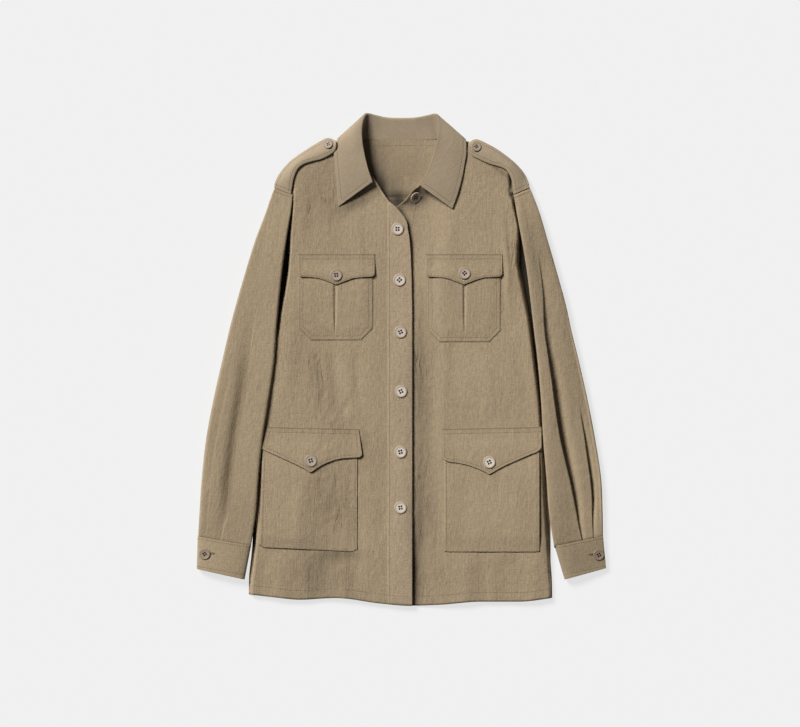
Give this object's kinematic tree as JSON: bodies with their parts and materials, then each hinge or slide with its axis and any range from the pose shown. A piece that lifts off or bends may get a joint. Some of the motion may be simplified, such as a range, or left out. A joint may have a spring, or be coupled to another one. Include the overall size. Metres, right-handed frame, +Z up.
{
  "type": "utility jacket",
  "caption": "Khaki cotton utility jacket laid flat on its back: buttoned front, turned-down pointed collar, shoulder straps, flapped chest and hip pockets, pleated sleeves with buttoned cuffs.",
  "frame": {"origin": "centre of the bounding box seen from above, on the surface that the jacket lies on", "axes": "+Z up from the surface, out of the jacket's front; +Y from the hem to the collar; +X towards the wearer's left sleeve"},
  "size_m": [0.6146, 0.7402, 0.0268],
  "materials": {
    "khaki_cloth": "matte washed cotton twill",
    "khaki_trim": "matte washed cotton twill, two layers",
    "button": "satin"
  },
  "bodies": {
    "root": {"back_panel": "khaki_cloth", "back_yoke": "khaki_cloth", "front_over": "khaki_cloth", "front_under": "khaki_cloth", "front_placket": "khaki_trim", "collar": "khaki_trim", "strap_right": "khaki_trim", "strap_left": "khaki_trim", "sleeve_right": "khaki_cloth", "sleeve_left": "khaki_cloth", "sleeve_right_under": "khaki_cloth", "sleeve_left_under": "khaki_cloth", "cuff_right": "khaki_cloth", "cuff_left": "khaki_cloth", "chest_pocket_right": "khaki_cloth", "chest_pocket_left": "khaki_cloth", "chest_flap_right": "khaki_cloth", "chest_flap_left": "khaki_cloth", "hip_pocket_right": "khaki_cloth", "hip_pocket_left": "khaki_cloth", "hip_flap_right": "khaki_cloth", "hip_flap_left": "khaki_cloth", "button_front_1": "button", "button_front_2": "button", "button_front_3": "button", "button_front_4": "button", "button_front_5": "button", "button_front_6": "button", "button_neck": "button", "button_chest_right": "button", "button_chest_left": "button", "button_hip_right": "button", "button_hip_left": "button", "button_strap_right": "button", "button_strap_left": "button", "button_cuff_right": "button", "button_cuff_left": "button"}
  },
  "joints": []
}
